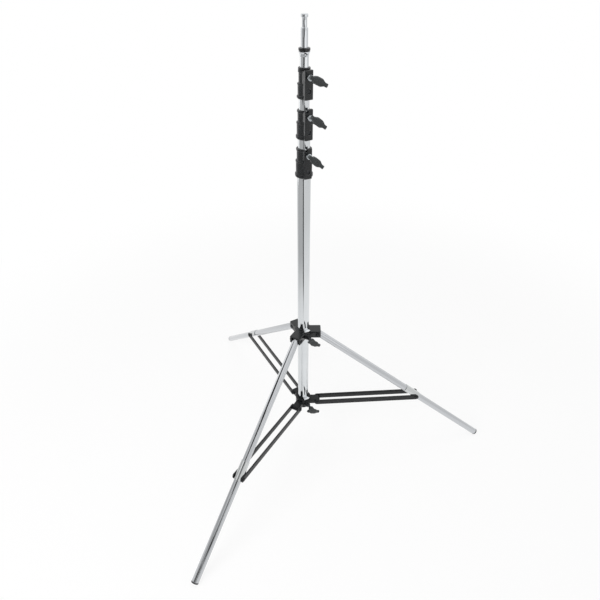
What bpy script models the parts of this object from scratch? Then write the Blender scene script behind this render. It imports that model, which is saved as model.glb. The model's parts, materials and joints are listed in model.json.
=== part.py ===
"""A baby stand: a steel lighting stand with three telescoping risers and folding legs.

Metres, +Z up, standing on z = 0 with its legs spread and its risers down.
"""

import math

import bmesh
import bpy
from mathutils import Matrix

MM = 0.001

# Clearances
GAP = 0.3 * MM  # between two pieces that touch
SLOT_GAP = 0.5 * MM  # at each side of a leg in its clevis
TELESCOPE_GAP = 1.0 * MM  # between one section and the next, round the tube
CUT = 2.0 * MM  # how far a cutter runs past the face that it opens

# Tubes
COLUMN_RADIUS = 17.5 * MM
TUBE_WALL = 1.5 * MM
COLUMN_TAIL = 5.0 * MM  # how far it comes out under the lower collar
PLUG_LIP = 3.0 * MM
PLUG_SPIGOT = 12.0 * MM
PLUG_WALL = 4.0 * MM
GUIDE_LENGTH = 55.0 * MM  # the part of a riser that always stays inside its socket

# Lock castings, from the lowest to the highest. seat is where the tube below ends, reach is
# how far the clamp block stands out from that tube, and turn is the block's side.
LOCK_1_BOTTOM = 1000.0 * MM
LOCKS = (
    {"height": 73.5 * MM, "seat": 43.0 * MM, "flare": 11.0 * MM, "reveal": 23.0 * MM},
    {"height": 68.0 * MM, "seat": 40.0 * MM, "flare": 9.5 * MM, "reveal": 25.0 * MM},
    {"height": 62.5 * MM, "seat": 34.0 * MM, "flare": 7.5 * MM, "reveal": 27.5 * MM},
)
BLOCKS = (
    {"reach": 8.5 * MM, "turn": -66.0, "handle_tilt": 43.0},
    {"reach": 9.5 * MM, "turn": -60.0, "handle_tilt": 42.0},
    {"reach": 10.0 * MM, "turn": -60.0, "handle_tilt": 34.0},
)
SOCKET_WALL = 3.1 * MM
FLARE_WALL = 5.4 * MM
NECK_WALL = 3.4 * MM
RIM_WALL = 4.8 * MM
RIM_HEIGHT = 6.0 * MM
CASTING_BEVEL = 1.5 * MM
BLOCK_HALF_WIDTH = 10.8 * MM
BLOCK_RISE = 2.0 * MM  # of the clamp block over the casting's rim
BLOCK_BEVEL = 1.1 * MM
KNOB_DROP = 13.0 * MM  # from the casting's rim down to its clamp screw
CAP_SCREW_RISE = 19.0 * MM
RING_HEIGHT = 5.0 * MM
RING_WALL = 4.5 * MM

# Clamp screws, their shoes and their T handles
KNOB_AZIMUTH = -60.0  # of the collars' screws and the stud's pin
SCREW_RADIUS = 4.0 * MM
SCREW_COLLAR_RADIUS = 6.5 * MM
SCREW_COLLAR_LENGTH = 8.0 * MM
SHOE_RADIUS = 5.4 * MM
SHOE_LENGTH = 4.0 * MM
SHOE_TRAVEL = 1.0 * MM
LOCK_STANDOFF = 44.0 * MM
COLLAR_STANDOFF = 37.0 * MM
HANDLE_HALF_SPAN = 25.0 * MM
HANDLE_MIDDLE = 9.0 * MM
HANDLE_TIP = 4.5 * MM
HANDLE_SHOULDER = 19.0 * MM
HANDLE_THICKNESS = 9.0 * MM
HANDLE_BEVEL = 2.0 * MM
UPPER_HANDLE_TILT = 40.0
LOWER_HANDLE_TILT = 30.0
HUB_RADIUS = 8.5 * MM
HUB_LENGTH = 18.0 * MM
CAP_SCREW_RADIUS = 4.2 * MM
CAP_SCREW_HEAD = 3.0 * MM
CAP_SCREW_SHANK = 2.5 * MM
CAP_SCREW_LENGTH = 5.0 * MM
CAP_SCREW_SOCKET = 2.0 * MM

# Upper leg collar
LEG_AZIMUTHS = {"right": 0.0, "back": 120.0, "front": -120.0}
LEG_PIVOT_REACH = 44.5 * MM
LEG_PIVOT_HEIGHT = 486.8 * MM
UPPER_COLLAR_WALL = 9.5 * MM
UPPER_COLLAR_RISE = 16.2 * MM  # from the leg pivots up to the collar's top
UPPER_COLLAR_DROP = 9.0 * MM
CLEVIS_END = 9.9 * MM  # from the leg pivot out to the clevis's end
CLEVIS_EAR = 6.5 * MM
COLLAR_BEVEL = 1.5 * MM
COLLAR_BOSS_RADIUS = 9.0 * MM
COLLAR_BOSS_REACH = 14.0 * MM  # from the column out to the boss's face
COLLAR_NOTCH_HALF_WIDTH = 10.0 * MM  # the notch in the top of a collar, over its boss
COLLAR_NOTCH_RISE = 9.5 * MM  # from the clamp screw's axis up to the notch's floor

# Lower collar
BRACE_PIVOT_REACH = 49.0 * MM
BRACE_PIVOT_HEIGHT = 186.8 * MM
LOWER_COLLAR_WALL = 8.0 * MM
LOWER_COLLAR_RISE = 18.2 * MM
LOWER_COLLAR_DROP = 16.8 * MM

# Legs
LEG_RADIUS = 11.0 * MM
LEG_SPREAD = 51.05  # degrees from upright
LEG_END_MARGIN = 0.2 * MM
FOOT_LIP = 4.0 * MM
FOOT_SPIGOT = 15.0 * MM
FOOT_FLAT = 1.5 * MM  # worn off the foot's lowest corner, so that it rests flat

# Saddle brackets, braces and their pins
BRACE_OUTER_REACH = 390.0 * MM  # from the column's axis out to the brace's outer pivot
BRACKET_HALF_WIDTH = 13.0 * MM
BRACKET_LENGTH = 60.0 * MM
BRACKET_BELOW_PIVOT = 9.0 * MM
BRACE_WIDTH = 18.0 * MM
BRACE_THICKNESS = 3.0 * MM
PIN_RADIUS = 3.0 * MM
PIN_HEAD_RADIUS = 5.5 * MM
PIN_HEAD_HEIGHT = 3.0 * MM

# Top fitting
FLARE_HEIGHT = 10.0 * MM
FLARE_EXTRA = 2.0 * MM
STUD_SPIGOT = 40.0 * MM
STUD_RING_RADIUS = 13.5 * MM
STUD_RING_UNDER = 10.5 * MM
STUD_RING_HEIGHT = 7.0 * MM
STUD_RADIUS = 8.0 * MM
STUD_BODY = 40.0 * MM  # from the ring's top up to the groove
STUD_GROOVE_RADIUS = 5.8 * MM
STUD_GROOVE = 18.0 * MM
STUD_GROOVE_TAPER = 1.5 * MM
STUD_HEAD = 7.5 * MM
STUD_CHAMFER = 1.0 * MM
STUD_PIN_RADIUS = 1.7 * MM
STUD_PIN_LENGTH = 6.0 * MM
STUD_PIN_RISE = 4.5 * MM

SIDES = 24
SMALL_SIDES = 12
END_STEPS = 10  # round half a turn, on the flat pieces' ends
SADDLE_STEPS = 12
SMOOTH_ANGLE = math.radians(35)

# Colour, roughness and metallic value of each finish
FINISHES = {
    "chrome": ((0.78, 0.79, 0.81), 0.12, 1.0),
    "steel": ((0.55, 0.56, 0.58), 0.35, 1.0),
    "black_casting": ((0.030, 0.034, 0.036), 0.45, 0.0),
    "black_handle": ((0.045, 0.050, 0.050), 0.50, 0.0),
    "black_paint": ((0.030, 0.030, 0.031), 0.38, 0.0),
    "black_gloss": ((0.008, 0.008, 0.010), 0.15, 0.0),
    "nylon": ((0.55, 0.54, 0.50), 0.50, 0.0),
    "brass": ((0.60, 0.45, 0.20), 0.30, 1.0),
}

# Radii of the four sections, and where each tube, lock and guide comes
TUBE_RADII = [COLUMN_RADIUS - i * (TUBE_WALL + TELESCOPE_GAP) for i in range(4)]
BORES = [radius - TUBE_WALL for radius in TUBE_RADII]
LEG_BORE = LEG_RADIUS - TUBE_WALL
SPREAD = math.radians(LEG_SPREAD)

lock_bottoms = [LOCK_1_BOTTOM]
for sizes in LOCKS[:-1]:
    lock_bottoms.append(lock_bottoms[-1] + sizes["height"] + sizes["reveal"])
lock_seats = [z + sizes["seat"] for z, sizes in zip(lock_bottoms, LOCKS)]
lock_tops = [z + sizes["height"] for z, sizes in zip(lock_bottoms, LOCKS)]
flare_bottom = lock_tops[-1] + LOCKS[-1]["reveal"]

column_bottom = BRACE_PIVOT_HEIGHT - LOWER_COLLAR_DROP - COLUMN_TAIL
guide_bottoms = []
rest = column_bottom + PLUG_LIP + PLUG_SPIGOT
for index in range(3):
    guide_bottoms.append(rest + GAP)
    rest = guide_bottoms[-1] + GUIDE_LENGTH + PLUG_SPIGOT

# Legs and braces in their own planes
foot_height = LEG_RADIUS * math.sin(SPREAD) - FOOT_FLAT
leg_length = (LEG_PIVOT_HEIGHT - foot_height) / math.cos(SPREAD)
foot_reach = LEG_PIVOT_REACH + leg_length * math.sin(SPREAD)
brace_to_pivot = (BRACE_OUTER_REACH - LEG_PIVOT_REACH) / math.sin(SPREAD)
brace_outer_height = LEG_PIVOT_HEIGHT - brace_to_pivot * math.cos(SPREAD)
brace_run = BRACE_OUTER_REACH - BRACE_PIVOT_REACH
brace_climb = brace_outer_height - BRACE_PIVOT_HEIGHT
brace_length = math.hypot(brace_run, brace_climb)
brace_angle = math.atan2(brace_climb, brace_run)
clevis_half_width = LEG_RADIUS + SLOT_GAP + CLEVIS_EAR
brace_inner = BRACKET_HALF_WIDTH + GAP
brace_outer = brace_inner + BRACE_THICKNESS

# The feet decide where the middle of the whole stand is
high_x = foot_reach + LEG_RADIUS * math.cos(SPREAD)
back_cos = math.cos(math.radians(LEG_AZIMUTHS["back"]))
back_sin = math.sin(math.radians(LEG_AZIMUTHS["back"]))
sideways = math.hypot(math.cos(SPREAD) * back_cos, back_sin)
low_x = back_cos * foot_reach - LEG_RADIUS * sideways
COLUMN_X = -0.5 * (high_x + low_x)


def clear_scene():
    for obj in list(bpy.data.objects):
        bpy.data.objects.remove(obj, do_unlink=True)


def frame(name, parent=None, location=(0, 0, 0), turn=0.0, tip=0.0):
    """An empty, turned about Z and then tipped about its own Y, in radians."""
    empty = bpy.data.objects.new(name, None)
    empty.location = location
    empty.rotation_euler = (0.0, tip, turn)
    empty.parent = parent
    bpy.context.scene.collection.objects.link(empty)
    return empty


def turned(profile, sides=SIDES):
    """A solid of revolution about Z from a closed profile of (radius, height)."""
    bm = bmesh.new()
    points = [bm.verts.new((radius, 0.0, z)) for radius, z in profile]
    edges = []
    for i, (radius, _) in enumerate(profile):
        following = (i + 1) % len(profile)
        if radius > 0 or profile[following][0] > 0:
            edges.append(bm.edges.new((points[i], points[following])))
    bmesh.ops.spin(
        bm,
        geom=points + edges,
        cent=(0, 0, 0),
        axis=(0, 0, 1),
        angle=2 * math.pi,
        steps=sides,
        use_merge=True,
    )
    bmesh.ops.remove_doubles(bm, verts=bm.verts, dist=1e-6)
    bmesh.ops.recalc_face_normals(bm, faces=bm.faces)
    return bm


def half_step_round(bm):
    """Turn a round body by half a side, so that no edge of it meets an edge of its bore."""
    turn = Matrix.Rotation(math.pi / SIDES, 3, "Z")
    bmesh.ops.rotate(bm, cent=(0, 0, 0), matrix=turn, verts=bm.verts)
    return bm


def prism(outline, low, high, along):
    """A flat outline of two coordinates, extruded along X, Y or Z from low to high."""
    places = {
        "X": lambda a, b: (low, a, b),
        "Y": lambda a, b: (a, low, b),
        "Z": lambda a, b: (a, b, low),
    }
    bm = bmesh.new()
    base = bm.faces.new([bm.verts.new(places[along](a, b)) for a, b in outline])
    grown = bmesh.ops.extrude_face_region(bm, geom=[base])
    moved = [v for v in grown["geom"] if isinstance(v, bmesh.types.BMVert)]
    step = [0.0, 0.0, 0.0]
    step["XYZ".index(along)] = high - low
    bmesh.ops.translate(bm, verts=moved, vec=step)
    bmesh.ops.recalc_face_normals(bm, faces=bm.faces)
    return bm


def box(x, y, z):
    outline = [(x[0], y[0]), (x[1], y[0]), (x[1], y[1]), (x[0], y[1])]
    return prism(outline, z[0], z[1], "Z")


def arc(centre, radius, first, last, steps):
    """Points on an arc, with the angles in degrees."""
    angles = [math.radians(first + (last - first) * i / steps) for i in range(steps + 1)]
    return [(centre[0] + radius * math.cos(a), centre[1] + radius * math.sin(a)) for a in angles]


def rod(radius, low, high, along="Z", centre=(0.0, 0.0), sides=SMALL_SIDES):
    """A plain round bar. Its centre is given in the two directions across it."""
    outline = arc(centre, radius, 0, 360 - 360 / sides, sides - 1)
    return prism(outline, low, high, along)


def lay_along(bm, along):
    """Turn a solid made about Z so that its axis lies along X or Y."""
    turns = {"X": lambda v: (v.z, v.y, -v.x), "Y": lambda v: (v.x, v.z, -v.y)}
    for vert in bm.verts:
        vert.co = turns[along](vert.co)
    return bm


def add(name, bm, finish=None, parent=None):
    """Put a solid in the scene. Without a finish it is a cutter or a tool."""
    mesh = bpy.data.meshes.new(name)
    bm.to_mesh(mesh)
    bm.free()
    mesh.shade_smooth()
    mesh.set_sharp_from_angle(angle=SMOOTH_ANGLE)
    obj = bpy.data.objects.new(name, mesh)
    obj.parent = parent
    bpy.context.scene.collection.objects.link(obj)
    if finish is None:
        obj.hide_render = True
        obj.display_type = "WIRE"
        return obj
    colour, roughness, metallic = FINISHES[finish]
    material = bpy.data.materials.new(name)
    material.use_nodes = True
    shader = material.node_tree.nodes["Principled BSDF"]
    shader.inputs["Base Color"].default_value = (*colour, 1.0)
    shader.inputs["Roughness"].default_value = roughness
    shader.inputs["Metallic"].default_value = metallic
    mesh.materials.append(material)
    return obj


def bevel(obj, width, segments=1):
    rounding = obj.modifiers.new("edges", "BEVEL")
    rounding.width = width
    rounding.segments = segments
    rounding.limit_method = "ANGLE"
    rounding.angle_limit = SMOOTH_ANGLE


def shape_with(obj, tool, operation):
    step = obj.modifiers.new(tool.name, "BOOLEAN")
    step.operation = operation
    step.solver = "EXACT"
    step.object = tool


def fuse(obj, tool):
    shape_with(obj, tool, "UNION")


def cut(obj, tool):
    shape_with(obj, tool, "DIFFERENCE")


def tube(radius, low, high):
    bore = radius - TUBE_WALL
    return turned([(radius, high), (radius, low), (bore, low), (bore, high)])


def end_plug(radius, bore, lip_low, lip_high):
    """A lip under a tube's end, a spigot inside the tube, and a hole through both."""
    spigot = bore - GAP
    hole = spigot - PLUG_WALL
    top = lip_high + PLUG_SPIGOT
    profile = [
        (radius, lip_high),
        (radius, lip_low),
        (hole, lip_low),
        (hole, top),
        (spigot, top),
        (spigot, lip_high),
    ]
    return turned(profile)


def clamp_hole(prefix, parent, tube_radius, face):
    """The stepped hole for a shoe and its screw, on a radial frame."""
    shoe_end = tube_radius + GAP + SHOE_LENGTH + SHOE_TRAVEL
    wide = SHOE_RADIUS + GAP
    narrow = SCREW_RADIUS + GAP
    profile = [
        (0.0, face + CUT),
        (narrow, face + CUT),
        (narrow, shoe_end),
        (wide, shoe_end),
        (wide, tube_radius - CUT),
        (0.0, tube_radius - CUT),
    ]
    return add(prefix + "_hole_cutter", lay_along(turned(profile, SMALL_SIDES), "X"), None, parent)


def clamp(prefix, parent, tube_radius, face, standoff, tilt):
    """Shoe, screw and T handle on a radial frame whose X axis is the screw's axis."""
    shoe_low = tube_radius + GAP
    shoe_high = shoe_low + SHOE_LENGTH
    add(prefix + "_shoe", rod(SHOE_RADIUS, shoe_low, shoe_high, "X"), "brass", parent)

    middle = standoff + face
    hub_low = middle - HUB_LENGTH
    screw_low = shoe_high + GAP
    screw_high = middle - GAP
    collar_low = face + GAP
    collar_high = collar_low + SCREW_COLLAR_LENGTH
    profile = [
        (0.0, screw_high),
        (SCREW_RADIUS, screw_high),
        (SCREW_RADIUS, collar_high),
        (SCREW_COLLAR_RADIUS, collar_high),
        (SCREW_COLLAR_RADIUS, collar_low),
        (SCREW_RADIUS, collar_low),
        (SCREW_RADIUS, screw_low),
        (0.0, screw_low),
    ]
    add(prefix + "_screw", lay_along(turned(profile, SMALL_SIDES), "X"), "steel", parent)

    tilted = frame(prefix + "_handle_axis", parent, (middle, 0, 0))
    tilted.rotation_euler = (math.radians(-tilt), 0, 0)
    half = 0.5 * HANDLE_THICKNESS
    handle = add(prefix + "_handle", prism(handle_outline(), -half, half, "X"), "black_handle", tilted)
    bevel(handle, HANDLE_BEVEL)
    hub = add(prefix + "_hub_tool", rod(HUB_RADIUS, -HUB_LENGTH, 0.0, "X"), None, tilted)
    fuse(handle, hub)
    blind = rod(SCREW_RADIUS + GAP, hub_low - CUT, middle, "X")
    cut(handle, add(prefix + "_hub_cutter", blind, None, parent))


def handle_outline():
    """A wing bar seen along its screw: a full middle that thins to square tips."""
    spans = [0.0, 0.25, 0.4, 0.55, 0.7, 0.85, 1.0]
    half = [(HANDLE_HALF_SPAN, HANDLE_TIP)]
    for share in reversed(spans):
        y = share * HANDLE_SHOULDER
        blend = 0.5 + 0.5 * math.cos(math.pi * share)
        half.append((y, HANDLE_TIP + (HANDLE_MIDDLE - HANDLE_TIP) * blend))
    upper = half + [(-y, z) for y, z in reversed(half[:-1])]
    return upper + [(y, -z) for y, z in reversed(upper)]


def cap_screw(prefix, parent, casting, face, height):
    """A socket screw in a counterbore, low on the clamp block's face."""
    at = frame(prefix + "_cap_screw_axis", parent, (face, 0, height))
    seat = -CAP_SCREW_HEAD + CAP_SCREW_SOCKET * 0.5
    pocket = [
        (0.0, CUT),
        (CAP_SCREW_RADIUS + GAP, CUT),
        (CAP_SCREW_RADIUS + GAP, seat - GAP),
        (CAP_SCREW_SHANK + GAP, seat - GAP),
        (CAP_SCREW_SHANK + GAP, seat - CAP_SCREW_LENGTH - GAP),
        (0.0, seat - CAP_SCREW_LENGTH - GAP),
    ]
    cut(casting, add(prefix + "_cap_screw_cutter", lay_along(turned(pocket, SMALL_SIDES), "X"), None, at))
    top = seat + CAP_SCREW_HEAD
    screw = [
        (0.0, top - CAP_SCREW_SOCKET),
        (CAP_SCREW_SOCKET, top - CAP_SCREW_SOCKET),
        (CAP_SCREW_SOCKET, top),
        (CAP_SCREW_RADIUS, top),
        (CAP_SCREW_RADIUS, seat),
        (CAP_SCREW_SHANK, seat),
        (CAP_SCREW_SHANK, seat - CAP_SCREW_LENGTH),
        (0.0, seat - CAP_SCREW_LENGTH),
    ]
    add(prefix + "_cap_screw", lay_along(turned(screw, SMALL_SIDES), "X"), "black_paint", at)


def lock(number, stand):
    """Casting number 1 to 3, with its clamp. It sits on one tube and holds the next."""
    sizes = LOCKS[number - 1]
    side = BLOCKS[number - 1]
    below = TUBE_RADII[number - 1]
    held = TUBE_RADII[number]
    low = lock_bottoms[number - 1]
    seat = lock_seats[number - 1]
    high = lock_tops[number - 1]
    prefix = f"lock_{number}"

    flare = below + FLARE_WALL
    socket = below + SOCKET_WALL
    neck = held + NECK_WALL
    rim = held + RIM_WALL
    small = CASTING_BEVEL
    profile = [
        (0.0, low),
        (flare - 2 * small, low),
        (flare, low + 2 * small),
        (flare, low + sizes["flare"] - small),
        (socket, low + sizes["flare"]),
        (socket, seat),
        (neck, seat + small),
        (neck, high - RIM_HEIGHT),
        (rim, high - RIM_HEIGHT + small),
        (rim, high - small),
        (rim - small, high),
        (0.0, high),
    ]
    casting = add(prefix + "_casting", half_step_round(turned(profile)), "black_casting", stand)

    radial = frame(prefix + "_radial", stand, (0, 0, 0), math.radians(side["turn"]))
    face = below + side["reach"]
    step = rim + GAP
    outline = [
        (0.0, low + GAP),
        (face, low + GAP),
        (face, high + BLOCK_RISE),
        (step, high + BLOCK_RISE),
        (step, high - GAP),
        (0.0, high - GAP),
    ]
    block = prism(outline, -BLOCK_HALF_WIDTH, BLOCK_HALF_WIDTH, "Y")
    block = add(prefix + "_block_tool", block, None, radial)
    bevel(block, BLOCK_BEVEL, 2)
    fuse(casting, block)

    throat = held + GAP
    socket_bore = below + GAP
    bore = [
        (0.0, low - CUT),
        (socket_bore, low - CUT),
        (socket_bore, seat),
        (throat, seat),
        (throat, high + CUT),
        (0.0, high + CUT),
    ]
    cut(casting, add(prefix + "_bore_cutter", turned(bore), None, stand))

    knob_axis = frame(prefix + "_knob_axis", radial, (0, 0, high - KNOB_DROP))
    cut(casting, clamp_hole(prefix, knob_axis, held, face))
    clamp(prefix, knob_axis, held, face, LOCK_STANDOFF, side["handle_tilt"])
    cap_screw(prefix, radial, casting, face, low + CAP_SCREW_RISE)


def telescope(stand):
    """The column, its end plug, and the three risers with their guide plugs."""
    lip_high = column_bottom + PLUG_LIP
    add("column_tube", tube(COLUMN_RADIUS, lip_high + GAP, lock_seats[0] - GAP), "chrome", stand)
    add("column_end_plug", end_plug(COLUMN_RADIUS, BORES[0], column_bottom, lip_high), "nylon", stand)
    ends = [lock_seats[1] - GAP, lock_seats[2] - GAP, flare_bottom - GAP]
    for number, low, high in zip((1, 2, 3), guide_bottoms, ends):
        guide_high = low + GUIDE_LENGTH
        guide = end_plug(BORES[number - 1] - GAP, BORES[number], low, guide_high)
        add(f"riser_{number}_guide", guide, "nylon", stand)
        add(f"riser_{number}_tube", tube(TUBE_RADII[number], guide_high + GAP, high), "chrome", stand)
    ring_low = lock_tops[2] + GAP
    ring_high = ring_low + RING_HEIGHT
    inner = TUBE_RADII[3] + GAP
    outer = TUBE_RADII[3] + RING_WALL
    small = CASTING_BEVEL
    profile = [
        (inner, ring_high),
        (inner, ring_low),
        (outer, ring_low),
        (outer, ring_high - small),
        (outer - small, ring_high),
    ]
    add("lock_3_ring", turned(profile), "black_gloss", stand)


def top_fitting(stand):
    """The stud that carries a lamp: spigot, flare, stud, groove and head in one piece."""
    tube_top = TUBE_RADII[3]
    spigot = BORES[3] - GAP
    flare_high = flare_bottom + FLARE_HEIGHT
    ring_low = flare_high + GAP
    ring_high = ring_low + STUD_RING_HEIGHT
    groove_low = ring_high + STUD_BODY
    groove_high = groove_low + STUD_GROOVE
    top = groove_high + STUD_HEAD
    taper = STUD_GROOVE_TAPER
    profile = [
        (0.0, flare_bottom - STUD_SPIGOT),
        (spigot, flare_bottom - STUD_SPIGOT),
        (spigot, flare_bottom),
        (tube_top, flare_bottom),
        (tube_top + FLARE_EXTRA, flare_high),
        (STUD_RADIUS, flare_high),
        (STUD_RADIUS, groove_low - taper),
        (STUD_GROOVE_RADIUS, groove_low),
        (STUD_GROOVE_RADIUS, groove_high),
        (STUD_RADIUS, groove_high + taper),
        (STUD_RADIUS, top - STUD_CHAMFER),
        (STUD_RADIUS - STUD_CHAMFER, top),
        (0.0, top),
    ]
    stud = add("stud", turned(profile), "chrome", stand)
    inner = STUD_RADIUS + GAP
    ring = [
        (inner, ring_high),
        (inner, ring_low),
        (STUD_RING_UNDER, ring_low),
        (STUD_RING_RADIUS, ring_low + 0.5 * STUD_RING_HEIGHT),
        (STUD_RING_RADIUS, ring_high),
    ]
    add("stud_ring", turned(ring), "black_gloss", stand)

    axis = frame("stud_pin_axis", stand, (0, 0, flare_bottom + STUD_PIN_RISE), math.radians(KNOB_AZIMUTH))
    surface = tube_top + FLARE_EXTRA * STUD_PIN_RISE / FLARE_HEIGHT
    inner_end = surface - STUD_PIN_LENGTH
    hole = rod(STUD_PIN_RADIUS + GAP, inner_end - GAP, surface + CUT, "X")
    cut(stud, add("stud_pin_cutter", hole, None, axis))
    add("stud_pin", rod(STUD_PIN_RADIUS, inner_end, surface, "X"), "black_paint", axis)


def collar_body(name, stand, wall, low, high):
    """A ring round the column, still solid. Its bore is cut last."""
    outer = COLUMN_RADIUS + wall
    small = COLLAR_BEVEL
    profile = [
        (0.0, low),
        (outer - small, low),
        (outer, low + small),
        (outer, high - small),
        (outer - small, high),
        (0.0, high),
    ]
    return add(name, half_step_round(turned(profile)), "black_casting", stand)


def collar_boss(name, stand, body, height):
    """The boss for the clamp screw. Returns the screw's frame and where the boss ends."""
    radial = frame(name + "_knob_axis", stand, (0, 0, height), math.radians(KNOB_AZIMUTH))
    face = COLUMN_RADIUS + COLLAR_BOSS_REACH
    boss = add(name + "_boss_tool", rod(COLLAR_BOSS_RADIUS, COLUMN_RADIUS, face, "X"), None, radial)
    fuse(body, boss)
    return radial, face


def finish_collar(name, stand, body, radial, face, low, high, tilt):
    """Bore, notch and clamp hole come last, to go through everything fused before."""
    notch_half = COLLAR_NOTCH_HALF_WIDTH
    notch_low = radial.location.z + COLLAR_NOTCH_RISE
    notch = box((0.5 * COLUMN_RADIUS, face + CUT), (-notch_half, notch_half), (notch_low, high + CUT))
    notch = add(name + "_notch_cutter", notch, None, stand)
    notch.rotation_euler.z = math.radians(KNOB_AZIMUTH)
    cut(body, notch)
    bore = rod(COLUMN_RADIUS + GAP, low - CUT, high + CUT, "Z", sides=SIDES)
    cut(body, add(name + "_bore_cutter", bore, None, stand))
    cut(body, clamp_hole(name, radial, COLUMN_RADIUS, face))
    clamp(name, radial, COLUMN_RADIUS, face, COLLAR_STANDOFF, tilt)


def cross_pin(half_width):
    """A round pin across the leg's plane, with a flat head at each end."""
    inner = half_width + GAP
    outer = inner + PIN_HEAD_HEIGHT
    profile = [
        (0.0, -outer),
        (PIN_HEAD_RADIUS, -outer),
        (PIN_HEAD_RADIUS, -inner),
        (PIN_RADIUS, -inner),
        (PIN_RADIUS, inner),
        (PIN_HEAD_RADIUS, inner),
        (PIN_HEAD_RADIUS, outer),
        (0.0, outer),
    ]
    return lay_along(turned(profile, SMALL_SIDES), "Y")


def pin_hole(half_width, centre=(0.0, 0.0)):
    return rod(PIN_RADIUS + GAP, -half_width - CUT, half_width + CUT, "Y", centre)


def pivot_frame(name, stand, side, reach, height, tip=0.0):
    """A frame on a pivot in a leg's upright plane: X points outwards, Y across the leg."""
    turn = math.radians(LEG_AZIMUTHS[side])
    place = (reach * math.cos(turn), reach * math.sin(turn), height)
    return frame(name, stand, place, turn, tip)


def upper_collar(stand):
    low = LEG_PIVOT_HEIGHT - UPPER_COLLAR_DROP
    high = LEG_PIVOT_HEIGHT + UPPER_COLLAR_RISE
    body = collar_body("upper_collar", stand, UPPER_COLLAR_WALL, low, high)
    radial, face = collar_boss("upper_collar", stand, body, LEG_PIVOT_HEIGHT)
    clearance = LEG_RADIUS + LEG_END_MARGIN + SLOT_GAP
    slot_half = LEG_RADIUS + SLOT_GAP
    cutters = []
    for side in LEG_AZIMUTHS:
        at = pivot_frame(f"clevis_{side}", stand, side, LEG_PIVOT_REACH, LEG_PIVOT_HEIGHT)
        block = box(
            (0.5 * COLUMN_RADIUS - LEG_PIVOT_REACH, CLEVIS_END),
            (-clevis_half_width, clevis_half_width),
            (GAP - UPPER_COLLAR_DROP, UPPER_COLLAR_RISE - GAP),
        )
        block = add(f"clevis_{side}_block_tool", block, None, at)
        bevel(block, COLLAR_BEVEL, 2)
        fuse(body, block)
        slot = box(
            (-clearance, CLEVIS_END + CUT),
            (-slot_half, slot_half),
            (-UPPER_COLLAR_DROP - CUT, clearance),
        )
        cutters.append(add(f"clevis_{side}_slot_cutter", slot, None, at))
        cutters.append(add(f"clevis_{side}_hole_cutter", pin_hole(clevis_half_width), None, at))
        add(f"leg_{side}_pivot_bolt", cross_pin(clevis_half_width), "steel", at)
    for cutter in cutters:
        cut(body, cutter)
    finish_collar("upper_collar", stand, body, radial, face, low, high, UPPER_HANDLE_TILT)


def lower_collar(stand):
    low = BRACE_PIVOT_HEIGHT - LOWER_COLLAR_DROP
    high = BRACE_PIVOT_HEIGHT + LOWER_COLLAR_RISE
    body = collar_body("lower_collar", stand, LOWER_COLLAR_WALL, low, high)
    radial, face = collar_boss("lower_collar", stand, body, BRACE_PIVOT_HEIGHT)
    half = 0.5 * BRACE_WIDTH
    root = 0.5 * COLUMN_RADIUS - BRACE_PIVOT_REACH
    cutters = []
    for side in LEG_AZIMUTHS:
        at = pivot_frame(f"lug_{side}", stand, side, BRACE_PIVOT_REACH, BRACE_PIVOT_HEIGHT)
        outline = [(root, half), (root, -half)] + arc((0.0, 0.0), half, -90, 90, END_STEPS)
        lug = prism(outline, -BRACKET_HALF_WIDTH, BRACKET_HALF_WIDTH, "Y")
        fuse(body, add(f"lug_{side}_tool", lug, None, at))
        cutters.append(add(f"lug_{side}_hole_cutter", pin_hole(BRACKET_HALF_WIDTH), None, at))
        add(f"brace_{side}_pivot_pin", cross_pin(brace_outer), "steel", at)
    for cutter in cutters:
        cut(body, cutter)
    finish_collar("lower_collar", stand, body, radial, face, low, high, LOWER_HANDLE_TILT)


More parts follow.
